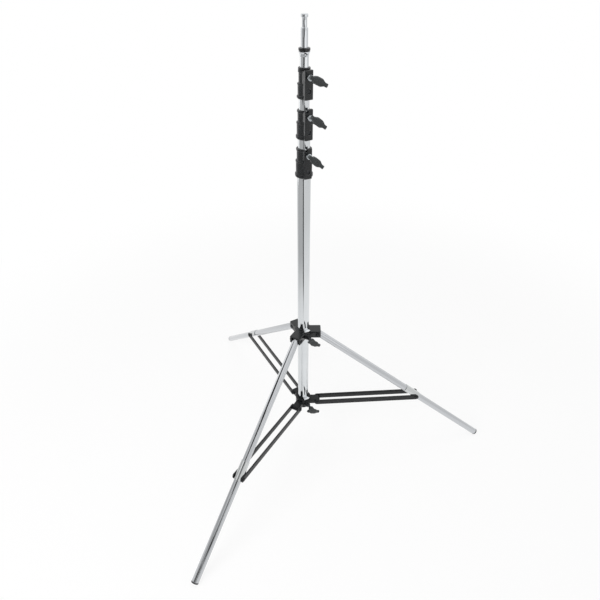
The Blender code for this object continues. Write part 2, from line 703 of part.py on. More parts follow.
def leg(side, stand, floor):
    """One leg in its own frame: the pivot is the origin and the leg runs along -Z."""
    hinge = pivot_frame(f"leg_{side}_hinge", stand, side, LEG_PIVOT_REACH, LEG_PIVOT_HEIGHT, -SPREAD)
    round_end = LEG_RADIUS + LEG_END_MARGIN
    lip_high = -leg_length + FOOT_LIP
    body = add(f"leg_{side}_tube", tube(LEG_RADIUS, lip_high + GAP, round_end + CUT), "chrome", hinge)
    outline = arc((0.0, 0.0), round_end, 0, 180, END_STEPS)
    outline += [(-round_end, lip_high - CUT), (round_end, lip_high - CUT)]
    keep = prism(outline, -round_end - CUT, round_end + CUT, "Y")
    shape_with(body, add(f"leg_{side}_end_tool", keep, None, hinge), "INTERSECT")
    cut(body, add(f"leg_{side}_pivot_cutter", pin_hole(LEG_RADIUS), None, hinge))

    foot = turned(
        [
            (0.0, -leg_length),
            (LEG_RADIUS, -leg_length),
            (LEG_RADIUS, lip_high),
            (LEG_BORE - GAP, lip_high),
            (LEG_BORE - GAP, lip_high + FOOT_SPIGOT),
            (0.0, lip_high + FOOT_SPIGOT),
        ]
    )
    cut(add(f"leg_{side}_foot", foot, "black_paint", hinge), floor)

    centre = (0.0, -brace_to_pivot)
    low = -brace_to_pivot - BRACKET_BELOW_PIVOT
    inner = LEG_RADIUS + GAP
    outer = BRACKET_HALF_WIDTH
    saddle = arc((0.0, 0.0), outer, -90, 90, SADDLE_STEPS)
    saddle += [(-LEG_RADIUS, outer), (-LEG_RADIUS, inner)]
    saddle += arc((0.0, 0.0), inner, 90, -90, SADDLE_STEPS)
    saddle += [(-LEG_RADIUS, -inner), (-LEG_RADIUS, -outer)]
    bracket = add(f"leg_{side}_bracket", prism(saddle, low, low + BRACKET_LENGTH, "Z"), "chrome", hinge)
    hole = add(f"leg_{side}_bolt_cutter", pin_hole(BRACKET_HALF_WIDTH, centre), None, hinge)
    cut(bracket, hole)
    cut(body, hole)
    bolt = rod(PIN_RADIUS, -BRACKET_HALF_WIDTH, BRACKET_HALF_WIDTH, "Y", centre)
    add(f"leg_{side}_cross_bolt", bolt, "steel", hinge)


def brace_pair(side, stand):
    """Two flat bars in their own frame: the inner pivot is the origin, the bars run along X."""
    name = f"brace_{side}"
    hinge = pivot_frame(name + "_hinge", stand, side, BRACE_PIVOT_REACH, BRACE_PIVOT_HEIGHT, -brace_angle)
    half = 0.5 * BRACE_WIDTH
    far = (brace_length, 0.0)
    outline = arc((0.0, 0.0), half, 90, 270, END_STEPS)
    outline += arc(far, half, -90, 90, END_STEPS)
    hole = add(name + "_cutter", pin_hole(brace_outer), None, hinge)
    for hand, sign in (("left", 1), ("right", -1)):
        low, high = sorted((sign * brace_inner, sign * brace_outer))
        bar = add(f"{name}_{hand}", prism(outline, low, high, "Y"), "black_paint", hinge)
        low, high = sorted((sign * (brace_outer - GAP), sign * (brace_outer + PIN_HEAD_HEIGHT)))
        rivet = rod(PIN_HEAD_RADIUS, low, high, "Y", far)
        fuse(bar, add(f"{name}_{hand}_rivet_tool", rivet, None, hinge))
        cut(bar, hole)


def main():
    clear_scene()
    stand = frame("stand", None, (COLUMN_X, 0, 0))
    reach = 2 * foot_reach
    floor = add("floor_cutter", box((-reach, reach), (-reach, reach), (-LEG_RADIUS, 0.0)), None, stand)
    telescope(stand)
    for number in (1, 2, 3):
        lock(number, stand)
    top_fitting(stand)
    upper_collar(stand)
    lower_collar(stand)
    for side in LEG_AZIMUTHS:
        leg(side, stand, floor)
        brace_pair(side, stand)


main()
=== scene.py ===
# A folding lighting stand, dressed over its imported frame: chromed steel tubes, black
# enamelled castings with T handles, and black braces that hold the legs out.
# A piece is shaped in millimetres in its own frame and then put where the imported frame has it.

import json
import math

import bmesh
import bpy
from mathutils import Matrix, Vector


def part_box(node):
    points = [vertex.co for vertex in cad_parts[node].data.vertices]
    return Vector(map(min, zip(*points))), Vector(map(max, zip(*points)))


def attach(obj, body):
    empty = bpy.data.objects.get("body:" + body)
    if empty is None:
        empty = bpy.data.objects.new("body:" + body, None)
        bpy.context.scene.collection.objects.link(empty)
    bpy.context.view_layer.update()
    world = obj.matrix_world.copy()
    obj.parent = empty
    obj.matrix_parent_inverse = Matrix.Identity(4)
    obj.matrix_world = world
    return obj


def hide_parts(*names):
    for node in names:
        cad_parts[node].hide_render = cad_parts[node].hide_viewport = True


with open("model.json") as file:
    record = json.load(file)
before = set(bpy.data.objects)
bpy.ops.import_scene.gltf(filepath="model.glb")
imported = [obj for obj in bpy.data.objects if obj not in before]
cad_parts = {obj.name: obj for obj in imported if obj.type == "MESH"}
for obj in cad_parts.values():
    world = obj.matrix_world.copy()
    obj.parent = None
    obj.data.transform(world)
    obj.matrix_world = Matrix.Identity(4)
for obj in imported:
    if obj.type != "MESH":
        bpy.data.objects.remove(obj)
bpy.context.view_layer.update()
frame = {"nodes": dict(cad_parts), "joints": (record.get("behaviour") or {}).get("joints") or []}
mm = 0.001
joints = {joint["name"]: joint for joint in frame["joints"]}

stand = {
    "wall": 1.5,  # of every tube
    "gap": 0.3,  # between pieces that touch
    "legSides": {"right": 0, "back": 120, "front": -120},
    "spread": 51.05,  # of a leg, from upright
    "sides": 96,  # of a round piece
    "rim": 0.45,  # rounding of a tube's ends
    "across": 20,  # half of a cutter that goes right through a leg
}


def nodeBox(node):
    low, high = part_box(node)
    return low / mm, high / mm


def tubeRadius(node):
    low, high = nodeBox(node)
    return (high.x - low.x) / 2


axisX = sum(corner.x for corner in nodeBox("column_tube")) / 2
tubeNodes = ["column_tube", "riser_1_tube", "riser_2_tube", "riser_3_tube"]
tubeRadii = [tubeRadius(node) for node in tubeNodes]
tubeBodies = ["column", "riser_1", "riser_2", "riser_3"]
lean = math.radians(stand["spread"])
gap = stand["gap"]

# Places, in millimetres and degrees


def spun(degrees, axis="Z"):
    return Matrix.Rotation(math.radians(degrees), 4, axis)


def moved(x=0, y=0, z=0):
    return Matrix.Translation((x, y, z))


def placed(x=0, y=0, z=0, turn=0, tip=0, roll=0):
    return moved(x, y, z) @ (spun(turn) @ spun(tip, "Y")) @ spun(roll, "X")


def onColumn(height):
    return placed(axisX, 0, height)


def clampSide(name):
    # A clamp screw's height, and its side in degrees round the column
    joint = joints[name + "_turn"]
    return joint["pos_m"][2] / mm, math.degrees(math.atan2(joint["axis"][1], joint["axis"][0]))


def facing(name, more=0):
    return spun(clampSide(name)[1] + more)


def onHinge(jointName, side, tip):
    x, y, z = (value / mm for value in joints[jointName]["pos_m"])
    return placed(x, y, z, stand["legSides"][side], tip)


alongX = spun(90, "Y")
alongY = spun(-90, "X")


def newObject(name, data):
    added = bpy.data.objects.new(name, data)
    bpy.context.scene.collection.objects.link(added)
    return added


# Node trees


def linear(hexColour):
    # From an sRGB hex colour
    parts = [int(hexColour[i:i + 2], 16) / 255 for i in (1, 3, 5)]
    return (*(p / 12.92 if p <= 0.04045 else ((p + 0.055) / 1.055) ** 2.4 for p in parts), 1.0)


def addNode(tree, kind, inputs=None, give=0, **settings):
    # Adds one node, sets it, links it and hands back the output asked for
    node = tree.nodes.new(kind)
    for name, value in settings.items():
        setattr(node, name, value)
    for name, value in (inputs or {}).items():
        for one in value if isinstance(value, list) else [value]:
            if isinstance(one, bpy.types.NodeSocket):
                tree.links.new(one, node.inputs[name])
            else:
                node.inputs[name].default_value = one
    return node.outputs[give] if node.outputs else node


def newTree(name):
    material = bpy.data.materials.new(name)
    material.use_nodes = True
    material.node_tree.nodes.clear()
    return material, material.node_tree


def newFinish(name, fromCad=False):
    # Where a finish is read: millimetres in the piece's own frame, stamped on its points. A
    # carried-over node has no such stamp, so its finish reads the metres it is placed in.
    material, tree = newTree(name)
    if fromCad:
        metres = addNode(tree, "ShaderNodeTexCoord", give="Object")
        scaled = {"Vector": metres, "Scale": (1 / mm, 1 / mm, 1 / mm)}
        return material, tree, addNode(tree, "ShaderNodeMapping", scaled)
    where = addNode(tree, "ShaderNodeAttribute", give="Vector", attribute_name="localMm")
    return material, tree, where


def closeFinish(tree, inputs, *reliefs):
    # A relief is a height, its depth in millimetres and its strength; each lies on the one before
    normal = {}
    for height, depth, strength in reliefs:
        skin = {"Height": height, "Distance": depth * mm, "Strength": strength, **normal}
        normal = {"Normal": addNode(tree, "ShaderNodeBump", skin)}
    shader = addNode(tree, "ShaderNodeBsdfPrincipled", {**inputs, **normal})
    addNode(tree, "ShaderNodeOutputMaterial", {"Surface": shader})


def blotches(tree, where, size, low=0.0, high=1.0, span=(0.3, 0.7), detail=2.0, stretch=(1, 1, 1)):
    # A value that wanders from low to high in patches about size millimetres across
    place = addNode(tree, "ShaderNodeMapping", {"Vector": where, "Scale": stretch})
    inputs = {"Vector": place, "Scale": 1 / size, "Detail": detail, "Roughness": 0.55}
    inputs = {"Value": addNode(tree, "ShaderNodeTexNoise", inputs), "To Min": low, "To Max": high}
    inputs["From Min"], inputs["From Max"] = span
    return addNode(tree, "ShaderNodeMapRange", inputs)


def mottled(tree, where, size, shade, other, **pattern):
    # A shade that turns to another in patches about size millimetres across
    shade = linear(shade) if isinstance(shade, str) else shade
    inputs = {0: blotches(tree, where, size, **pattern), 6: shade, 7: linear(other)}
    return addNode(tree, "ShaderNodeMix", inputs, 2, data_type="RGBA")


def edgeWearAndHighlight(tree, shade, other, reach, wearAndHighlight, patches=1.0):
    # A shade that turns lighter on sharp edges and corners: rubbed wear, and on the enamelled rims
    # a painted highlight too
    edges = addNode(tree, "ShaderNodeNewGeometry", give="Pointiness")
    inputs = {"Value": edges, "From Min": 0.52, "From Max": reach, "To Min": 0, "To Max": wearAndHighlight}
    wornAndHighlit = addNode(tree, "ShaderNodeMapRange", inputs)
    wornAndHighlit = addNode(tree, "ShaderNodeMath", {0: wornAndHighlit, 1: patches}, operation="MULTIPLY")
    inputs = {0: wornAndHighlit, 6: shade, 7: linear(other)}
    return addNode(tree, "ShaderNodeMix", inputs, 2, data_type="RGBA")


def chromedSteel(name, tint, haze):
    # Bright chrome plate over drawn and polished steel: a cool mirror with fine lines along
    # its length, a slow waviness from drawing, and a dull film where hands slide it
    material, tree, where = newFinish(name)
    lines = blotches(tree, where, 0.5, detail=3, stretch=(1, 1, 0.012))
    waves = blotches(tree, where, 16, detail=1, stretch=(1, 1, 0.12))
    smooth = blotches(tree, where, 38, 0.035, haze, detail=4, stretch=(1, 1, 0.45))
    scuffs = blotches(tree, where, 2.2, 0, 0.10, (0.60, 0.72), detail=5, stretch=(1, 1, 0.35))
    film = {"high": 0.30, "span": (0.45, 0.8), "detail": 4, "stretch": (1, 1, 0.45)}
    dull = mottled(tree, where, 38, tint, "#c6cacd", **film)
    rough = addNode(tree, "ShaderNodeMath", {0: smooth, 1: scuffs}, operation="ADD")
    inputs = {"Base Color": dull, "Metallic": 1.0, "Roughness": rough}
    closeFinish(tree, inputs, (waves, 0.035, 0.6), (lines, 0.0012, 0.5))
    return material


def enamel(name, colours, gloss, peel, wearAndHighlight, shine=0.5):
    # Black stove enamel on a casting: a fine orange peel, a slow change of shade, and rims and
    # corners painted a lighter grey, partly rubbed wear and partly a painted highlight along them
    material, tree, where = newFinish(name)
    shade = mottled(tree, where, 14, colours[0], colours[1], detail=3)
    shade = mottled(tree, where, 0.7, shade, "#7c8083", high=0.08, span=(0.58, 0.74), detail=4)
    patchy = blotches(tree, where, 3.5, 0.25, 1, (0.38, 0.62), detail=4)
    closeFinish(tree, {
        # Lighter edges: part rubbed wear, part painted highlight on the rims
        "Base Color": edgeWearAndHighlight(tree, shade, colours[2], 0.59, wearAndHighlight, patchy),
        "Roughness": blotches(tree, where, 9, gloss - 0.06, gloss + 0.08, detail=3),
        "Specular IOR Level": shine,
    }, (blotches(tree, where, peel), 0.03, 0.25))
    return material


def barPaint():
    # Satin paint on rolled flat bar: faint rolling lines along the bar and small chips that
    # show grey steel
    material, tree, where = newFinish("paintedFlatBar")
    shade = mottled(tree, where, 22, "#18191a", "#222325", detail=3, stretch=(0.4, 1, 1))
    shade = mottled(tree, where, 2.4, shade, "#66696b", high=0.7, span=(0.69, 0.73), detail=5)
    rolled = blotches(tree, where, 0.8, 0.30, 0.46, detail=3, stretch=(0.03, 1, 1))
    inputs = {"Base Color": shade, "Roughness": rolled, "Specular IOR Level": 0.32}
    closeFinish(tree, inputs, (rolled, 0.1, 0.4))
    return material


def zincPlate(name, colours, lay):
    # Bright zinc on a turned or pressed steel part: light grey, slightly dull, with the
    # tool's lines along lay
    material, tree, where = newFinish(name)
    rings = blotches(tree, where, 0.35, stretch=lay)
    closeFinish(tree, {
        "Base Color": mottled(tree, where, 5, *colours, detail=3),
        "Metallic": 1.0,
        "Roughness": blotches(tree, where, 3, 0.22, 0.40, detail=3),
    }, (rings, 0.01, 0.5))
    return material


def oxideSteel():
    # Black-oxide steel fastener: near black with an oily sheen and greyer worn edges
    material, tree, where = newFinish("blackOxideFastener")
    shade = mottled(tree, where, 2.5, "#26272a", "#35373a", detail=3)
    closeFinish(tree, {
        "Base Color": edgeWearAndHighlight(tree, shade, "#73777a", 0.62, 0.6),
        "Metallic": 0.6,
        "Roughness": blotches(tree, where, 1.2, 0.26, 0.42, detail=3),
    }, (blotches(tree, where, 0.5), 0.02, 0.3))
    return material


def moulding(name, colours, tone, rough, grain, depth, fromCad=False, metal=0.0):
    # A moulded or turned part: two shades that run together, a roughness that wanders a
    # little and a fine grain
    material, tree, where = newFinish(name, fromCad)
    size, span = tone
    closeFinish(tree, {
        "Base Color": mottled(tree, where, size, *colours, span=span, detail=4),
        "Metallic": metal,
        "Roughness": blotches(tree, where, 4, rough - 0.07, rough + 0.07, detail=3),
    }, (blotches(tree, where, grain, detail=3), depth, 0.5))
    return material


print("materials")
chromeTube = chromedSteel("chromedSteelTube", "#dfe2e4", 0.12)
# The legs take a darker copy of the tube chrome: painted shade for their darker look
shadedChromeLeg = chromedSteel("chromedSteelLegPaintedShade", "#cacccf", 0.14)
chromeStud = chromedSteel("chromedSteelStud", "#d9dcdf", 0.09)
chromeBracket = chromedSteel("chromedPressedPlate", "#d3d5d5", 0.16)
colours = ("#101214", "#181b1d", "#8a9194")
castEnamel = enamel("enamelledLockCasting", colours, 0.19, 1.1, 0.5)
colours = ("#0e1012", "#15181a", "#7c8386")
lowerEnamel = enamel("enamelledLowerCollar", colours, 0.22, 1.1, 0.5, 0.28)
colours = ("#1f2324", "#2b3031", "#6c7376")
handleEnamel = enamel("enamelledHandleCasting", colours, 0.40, 1.0, 0.35)
braceBlack = barPaint()
zincScrew = zincPlate("zincPlatedScrew", ("#ccd1d4", "#b7bdc0"), (1, 0.05, 0.05))
# The clips' plate is near white: a painted highlight in each notch
clipPaintedHighlight = zincPlate("nearWhiteClipPaintedHighlight", ("#f4f5f6", "#e6e9eb"), (0.05, 1, 1))
blackScrew = oxideSteel()
# Moulded ABS ring: deep gloss black, with a little dust
colours = ("#131416", "#2e3032")
glossBlack = moulding("glossBlackMoulding", colours, (0.6, (0.6, 0.8)), 0.18, 5, 0.03)
# Moulded black rubber: matt and slightly grained, greyed by the floor
colours = ("#2a2b2c", "#484949")
footRubber = moulding("mouldedRubberFoot", colours, (3, (0.45, 0.75)), 0.72, 0.7, 0.06)
# Natural nylon guides and end plugs inside the tubes: waxy, off-white
colours = ("#c9c5b8", "#b9b5a8")
nylon = moulding("naturalNylonGuide", colours, (6, (0.3, 0.7)), 0.48, 0.6, 0.02, True)
# Turned brass brake shoes: warm yellow metal, dulled
colours = ("#b08d4a", "#9c7a3c")
brass = moulding("turnedBrassShoe", colours, (6, (0.3, 0.7)), 0.34, 0.6, 0.02, True, 1.0)

# Meshes

sharpAngle = math.radians(35)  # a sharper edge is rounded
creaseAngle = math.radians(40)  # a sharper edge is shaded as an edge


def softened(corners, closed=False, steps=4):
    # A corner is (across, up) or (across, up, rounding); a rounding becomes a short curve
    points = []
    for index, corner in enumerate(corners):
        here = Vector(corner[:2])
        atEnd = not closed and index in (0, len(corners) - 1)
        if len(corner) == 2 or atEnd:
            points.append(tuple(here))
            continue
        before = Vector(corners[index - 1][:2]) - here
        after = Vector(corners[(index + 1) % len(corners)][:2]) - here
        reach = corner[2] / math.tan(before.angle(after) / 2)
        reach = min(reach, 0.49 * before.length, 0.49 * after.length)
        start = here + before.normalized() * reach
        end = here + after.normalized() * reach
        for step in range(steps + 1):
            t = step / steps
            points.append(tuple((1 - t) ** 2 * start + 2 * t * (1 - t) * here + t * t * end))
    return points


def bridged(bm, rings, capped=False):
    # Faces from each ring of points to the next; a ring may be a single point
    for one, other in zip(rings, rings[1:]):
        for k in range(max(len(one), len(other))):
            corners = [one[k % len(one)], one[(k + 1) % len(one)]]
            corners += [other[(k + 1) % len(other)], other[k % len(other)]]
            bm.faces.new(list(dict.fromkeys(corners)))
    if capped:
        bm.faces.new(rings[0])
        bm.faces.new(rings[-1])
    bmesh.ops.recalc_face_normals(bm, faces=bm.faces)
    return bm


def lathe(profile, closed=False, sides=stand["sides"]):
    bm = bmesh.new()
    angles = [2 * math.pi * k / sides for k in range(sides)]
    rings = []
    for radius, height in profile:
        if radius < 1e-4:
            rings.append([bm.verts.new((0, 0, height))])
        else:
            spots = [(radius * math.cos(a), radius * math.sin(a), height) for a in angles]
            rings.append([bm.verts.new(spot) for spot in spots])
    return bridged(bm, rings + rings[:1] if closed else rings)


def turnedSolid(corners, sides=stand["sides"]):
    # An outline whose ends run in to the upright axis, turned round it
    outline = [(0, corners[0][1]), *corners, (0, corners[-1][1])]
    return lathe(softened(outline), sides=sides)


def turnedRing(corners):
    # An outline that closes on itself, turned round the upright axis
    return lathe(softened(corners, closed=True), closed=True)


def prism(outline, low, high, along="Z"):
    bm = bmesh.new()
    ends = []
    for level in (low, high):
        spots = [(a, b, level) if along == "Z" else (a, level, b) for a, b in outline]
        ends.append([bm.verts.new(spot) for spot in spots])
        bm.faces.new(ends[-1])
    return bridged(bm, ends)


def block(x, y, z):
    return prism([(x[0], y[0]), (x[1], y[0]), (x[1], y[1]), (x[0], y[1])], z[0], z[1])


def rod(radius, low, high):
    # Turned a little, so that no edge of a cutter meets an edge of what it cuts
    return laid(lathe([(0, low), (radius, low), (radius, high), (0, high)], sides=48), spun(1.3))


def bored(radius, low, high, place=Matrix()):
    # A step that cuts a round hole
    return ("DIFFERENCE", laid(rod(radius, low, high), place))


def arc(radius, first, last, steps=24, x=0):
    angles = [math.radians(first + (last - first) * i / steps) for i in range(steps + 1)]
    return [(x + radius * math.cos(a), radius * math.sin(a)) for a in angles]


def laid(bm, place):
    bmesh.ops.transform(bm, matrix=place, verts=bm.verts)
    return bm


def roundEdges(bm, width, segments=3):
    settings = {"segments": segments, "profile": 0.5, "affect": "EDGES", "clamp_overlap": True}
    sharp = [edge for edge in bm.edges if edge.calc_face_angle(0) > sharpAngle]
    bmesh.ops.bevel(bm, geom=sharp, offset=width, **settings)
    return bm


def looseObject(bm):
    mesh = bpy.data.meshes.new("shape")
    bm.to_mesh(mesh)
    bm.free()
    return newObject("shape", mesh)


def evaluated(shape, tools=()):
    graph = bpy.context.evaluated_depsgraph_get()
    mesh = bpy.data.meshes.new_from_object(shape.evaluated_get(graph))
    for used in [shape, *tools]:
        data = used.data
        bpy.data.objects.remove(used)
        bpy.data.meshes.remove(data)
    return mesh


def carved(base, steps, skin=0, relax=0, edge=0):
    # Joins and cuts in turn. A skin remeshes finely and relaxes, for a casting's soft corners;
    # an edge is the small round of a pressed or sawn piece.
    body = looseObject(base)
    tools = []
    for operation, tool in steps:
        tools.append(looseObject(tool))
        change = body.modifiers.new(operation, "BOOLEAN")
        change.operation = operation
        change.solver = "EXACT"
        change.object = tools[-1]
    if skin:
        remesh = body.modifiers.new("skin", "REMESH")
        remesh.mode = "VOXEL"
        remesh.voxel_size = skin
        soften = body.modifiers.new("relax", "SMOOTH")
        soften.factor = 0.5
        soften.iterations = relax
    if edge:
        rounding = body.modifiers.new("edge", "BEVEL")
        rounding.width = edge
        rounding.segments = 2
        rounding.limit_method = "ANGLE"
        rounding.angle_limit = sharpAngle
    return evaluated(body, tools)


def fitPiece(name, mesh, place, material, body, nodes):
    stamp = mesh.attributes.new("localMm", "FLOAT_VECTOR", "POINT")
    stamp.data.foreach_set("vector", [value for vert in mesh.vertices for value in vert.co])
    mesh.transform(Matrix.Scale(mm, 4) @ place)
    mesh.shade_smooth()
    mesh.set_sharp_from_angle(angle=creaseAngle)
    mesh.materials.clear()
    mesh.materials.append(material)
    piece = newObject(name, mesh)
    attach(piece, body)
    if nodes:
        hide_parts(*nodes)


def meshOf(bm):
    return evaluated(looseObject(bm))


# Geometry Nodes trees for what repeats


def treeWith(name, sockets):
    # Each tree takes a mesh, the numbers named in sockets and a material
    tree = bpy.data.node_groups.new(name, "GeometryNodeTree")
    tree.interface.new_socket("Geometry", in_out="INPUT", socket_type="NodeSocketGeometry")
    for socketName, kind in [*sockets, ("Material", "NodeSocketMaterial")]:
        tree.interface.new_socket(socketName, in_out="INPUT", socket_type=kind)
    tree.interface.new_socket("Geometry", in_out="OUTPUT", socket_type="NodeSocketGeometry")
    return tree, addNode(tree, "NodeGroupInput").node.outputs


def endTree(tree, geometry, material):
    real = addNode(tree, "GeometryNodeRealizeInstances", {"Geometry": geometry})
    done = addNode(tree, "GeometryNodeSetMaterial", {"Geometry": real, "Material": material})
    addNode(tree, "NodeGroupOutput", {"Geometry": done})
    return tree


def ringTree():
    # Repeats a mesh round the upright axis, turned to face outwards each time
    sockets = [("Count", "NodeSocketInt"), ("Reach", "NodeSocketFloat")]
    tree, given = treeWith("repeatRoundColumn", sockets)
    inputs = {"Vertices": given["Count"], "Radius": given["Reach"]}
    circle = addNode(tree, "GeometryNodeMeshCircle", inputs)
    index = addNode(tree, "GeometryNodeInputIndex")
    share = addNode(tree, "ShaderNodeMath", {0: index, 1: given["Count"]}, operation="DIVIDE")
    angle = addNode(tree, "ShaderNodeMath", {0: share, 1: 2 * math.pi}, operation="MULTIPLY")
    turn = addNode(tree, "ShaderNodeCombineXYZ", {"Z": angle})
    turn = addNode(tree, "FunctionNodeEulerToRotation", {0: turn})
    inputs = {"Points": circle, "Instance": given["Geometry"], "Rotation": turn}
    return endTree(tree, addNode(tree, "GeometryNodeInstanceOnPoints", inputs), given["Material"])


def threadTree():
    # Winds a thread's ridge along a screw's shank, and keeps the shank
    numbers = ("Turns", "Radius", "Start", "Length", "Ridge")
    tree, given = treeWith("screwThread", [(name, "NodeSocketFloat") for name in numbers])
    inputs = {
        "Resolution": 20,
        "Rotations": given["Turns"],
        "Start Radius": given["Radius"],
        "End Radius": given["Radius"],
        "Height": given["Length"],
    }
    spiral = addNode(tree, "GeometryNodeCurveSpiral", inputs)
    lift = addNode(tree, "ShaderNodeCombineXYZ", {"Z": given["Start"]})
    spiral = addNode(tree, "GeometryNodeTransform", {"Geometry": spiral, "Translation": lift})
    inputs = {"Resolution": 5, "Radius": given["Ridge"]}
    ridge = addNode(tree, "GeometryNodeCurvePrimitiveCircle", inputs)
    inputs = {"Curve": spiral, "Profile Curve": ridge, "Fill Caps": True}
    thread = addNode(tree, "GeometryNodeCurveToMesh", inputs)
    both = addNode(tree, "GeometryNodeJoinGeometry", {"Geometry": [given["Geometry"], thread]})
    return endTree(tree, both, given["Material"])


def grown(bm, tree, values):
    shape = looseObject(bm)
    modifier = shape.modifiers.new(tree.name, "NODES")
    modifier.node_group = tree
    for item in tree.interface.items_tree:
        if item.in_out == "INPUT" and item.name in values:
            modifier[item.identifier] = values[item.name]
    return evaluated(shape)


repeatRound = ringTree()
windThread = threadTree()

# The telescoping tubes


def makeTubes():
    rim = stand["rim"]
    for node, body, radius in zip(tubeNodes, tubeBodies, tubeRadii):
        low, high = nodeBox(node)
        bore = radius - stand["wall"]
        corners = [(radius, low.z, rim), (radius, high.z, rim)]
        corners += [(bore, high.z, rim), (bore, low.z, rim)]
        mesh = meshOf(turnedRing(corners))
        name = node.replace("_tube", "Tube")
        fitPiece(name, mesh, onColumn(0), chromeTube, body, [node])


# The clips: near-white bent strips whose bright plate paints a highlight in each notch

highlightClipShape = {"gap": 0.35, "sheet": 1.3, "edge": 0.25}


def makeHighlightClip(name, host, tube, levels, radial, height, body):
    # A bent near-white strip in a casting's notch, painted as a highlight: it hugs the tube and
    # turns out over the rim
    shape = highlightClipShape
    inner, sheet = tube + shape["gap"], shape["sheet"]
    low, high = levels
    last = host["clipHalf"]
    start = arc(inner, -last, last, 10)
    hug = start + arc(inner + sheet, last, -last, 10)
    flap = start + arc(inner + host["clipReach"], last, -last, 10)
    upright = prism(hug, low, high - 0.5 * sheet)
    mesh = carved(upright, [("UNION", prism(flap, high - sheet, high))], edge=shape["edge"])
    fitPiece(name, mesh, onColumn(height) @ radial, clipPaintedHighlight, body, [])


# The lock castings

lockShape = {
    "flares": (11.0, 9.5, 7.5),
    "flareWall": 5.4,
    "socketWall": 3.1,
    "beadWall": 4.1,
    "neckWall": 3.4,
    "rimWall": 4.8,
    "rimHeight": 6.0,
    "rimDrop": 2.0,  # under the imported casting's top
    "blockReaches": (8.5, 9.5, 10.0),
    "blockHalf": 10.8,
    "blockRises": (5.0, 5.5, 2.0),  # over the rims
    "blockRound": 2.4,
    "padRadius": 6.6,  # round the cap screw
    "capScrewRise": 19.0,
    "recess": (4.6, 2.2),  # radius and depth, round the cap screw's head
    # The clip over each shelf is near white, a painted highlight
    "notched": (1, 2),  # the two wider locks have a shelf beside the block, with a clip over it
    "notchSpan": (-9.0, -2.5),  # across the block
    "notchDepth": 3.0,
    "clipTurn": -16.0,  # from the screw's side
    "clipHalf": 11.0,
    "clipReach": 4.6,
    "clipOver": 0.8,
    "skins": (0.53, 0.48, 0.48),  # how fine each casting's mesh is
    "relax": 5,
}


def makeLockCasting(number):
    shape = lockShape
    node = f"lock_{number}_casting"
    low, high = nodeBox(node)
    height = high.z - low.z - shape["rimDrop"]
    below, held = tubeRadii[number - 1], tubeRadii[number]
    seat = nodeBox(tubeNodes[number - 1])[1].z + gap - low.z
    flare, bead = below + shape["flareWall"], below + shape["beadWall"]
    socket = below + shape["socketWall"]
    neck, rim = held + shape["neckWall"], held + shape["rimWall"]
    flareTop = shape["flares"][number - 1]
    rimLow = height - shape["rimHeight"]
    corners = [
        (flare - 2.5, 0, 1.0),
        (flare, 3.0, 2.2),
        (flare, flareTop - 1.2, 1.0),
        (socket, flareTop + 0.6, 0.8),
        (socket, seat - 3.6, 0.6),
        (bead, seat - 2.8, 0.8),
        (bead, seat - 0.2, 0.8),
        (neck, seat + 1.4, 1.0),
        (neck, rimLow, 0.8),
        (rim, rimLow + 1.2, 0.8),
        (rim, height - 0.8, 0.6),
        (rim - 0.9, height, 0.5),
    ]
    face = below + shape["blockReaches"][number - 1]
    half = shape["blockHalf"]
    knobHeight, side = clampSide(f"lock_{number}")
    radial = facing(f"lock_{number}")
    knob = moved(z=knobHeight - low.z) @ alongX
    capScrew = moved(z=shape["capScrewRise"]) @ alongX
    recess, recessDepth = shape["recess"]
    screwHole = clampShape["screwRadius"] + gap
    top = height + shape["blockRises"][number - 1]
    step = rim + gap
    outline = [(0, gap), (face, gap), (face, top)]
    outline += [(step, top), (step, height - gap), (0, height - gap)]
    clampBlock = roundEdges(prism(outline, -half, half, "Y"), shape["blockRound"], 4)
    steps = [
        ("UNION", laid(clampBlock, radial)),
        ("UNION", laid(rod(shape["padRadius"], 0.5 * face, face + 0.8), radial @ capScrew)),
        bored(recess, face - recessDepth, face + 4, radial @ capScrew),
        bored(below + gap, -2, seat),
        bored(held + gap, seat - 1, height + 4),
        bored(screwHole, held, face + 4, radial @ knob),
    ]
    shelf = height - shape["notchDepth"]
    if number in shape["notched"]:
        notch = block((0.5 * held, face + 2), shape["notchSpan"], (shelf, top + 2))
        steps.append(("DIFFERENCE", laid(notch, radial)))
    mesh = carved(turnedSolid(corners), steps, shape["skins"][number - 1], shape["relax"])
    place, body = onColumn(low.z), tubeBodies[number - 1]
    fitPiece(f"lock{number}Casting", mesh, place, castEnamel, body, [node])
    if number in shape["notched"]:
        levels = (shelf, height + shape["clipOver"])
        turned = facing(f"lock_{number}", shape["clipTurn"])
        makeHighlightClip(f"lock{number}Clip", shape, held, levels, turned, low.z, body)
    makeClamp(f"lock_{number}", held, face, zincScrew)
    makeCapScrew(number, placed(axisX, 0, low.z + shape["capScrewRise"], side), face)


# Clamp screws and T handles, on the screw's axis

clampShape = {
    "screwRadius": 4.0,
    "collarRadius": 6.9,
    "collarLength": 5.6,
    "shoeStack": 4.6,  # from the tube, past the shoe, to the screw's inner end
    # A handle's distance from its casting's face, and its tilt
    "handles": {
        "lock_1": (42.5, -41),
        "lock_2": (40.5, -38),
        "lock_3": (39.5, -28),
        "upper_collar": (33.5, -38),
        "lower_collar": (36, -30),
    },
    "hubRadius": 8.5,
    "hubLength": 18.0,
    "neckRadius": 5.4,
    "neckStart": 11.0,  # from the casting's face
    "halfSpan": 25.0,
    "plateau": 6.0,
    "shoulder": 18.5,
    "middle": 9.0,
    "tip": 4.5,
    "thickness": 9.0,
    "slimming": (0.86, 0.20),  # share of the thickness at the tips, and what the middle adds
    "squareness": (4.2, 1.6),  # of a section at the tips, and what the middle takes off
    "pitch": 1.25,
    "threadDepth": 0.35,
    "ridge": 0.42,
    "skin": 0.55,
    "relax": 5,
}


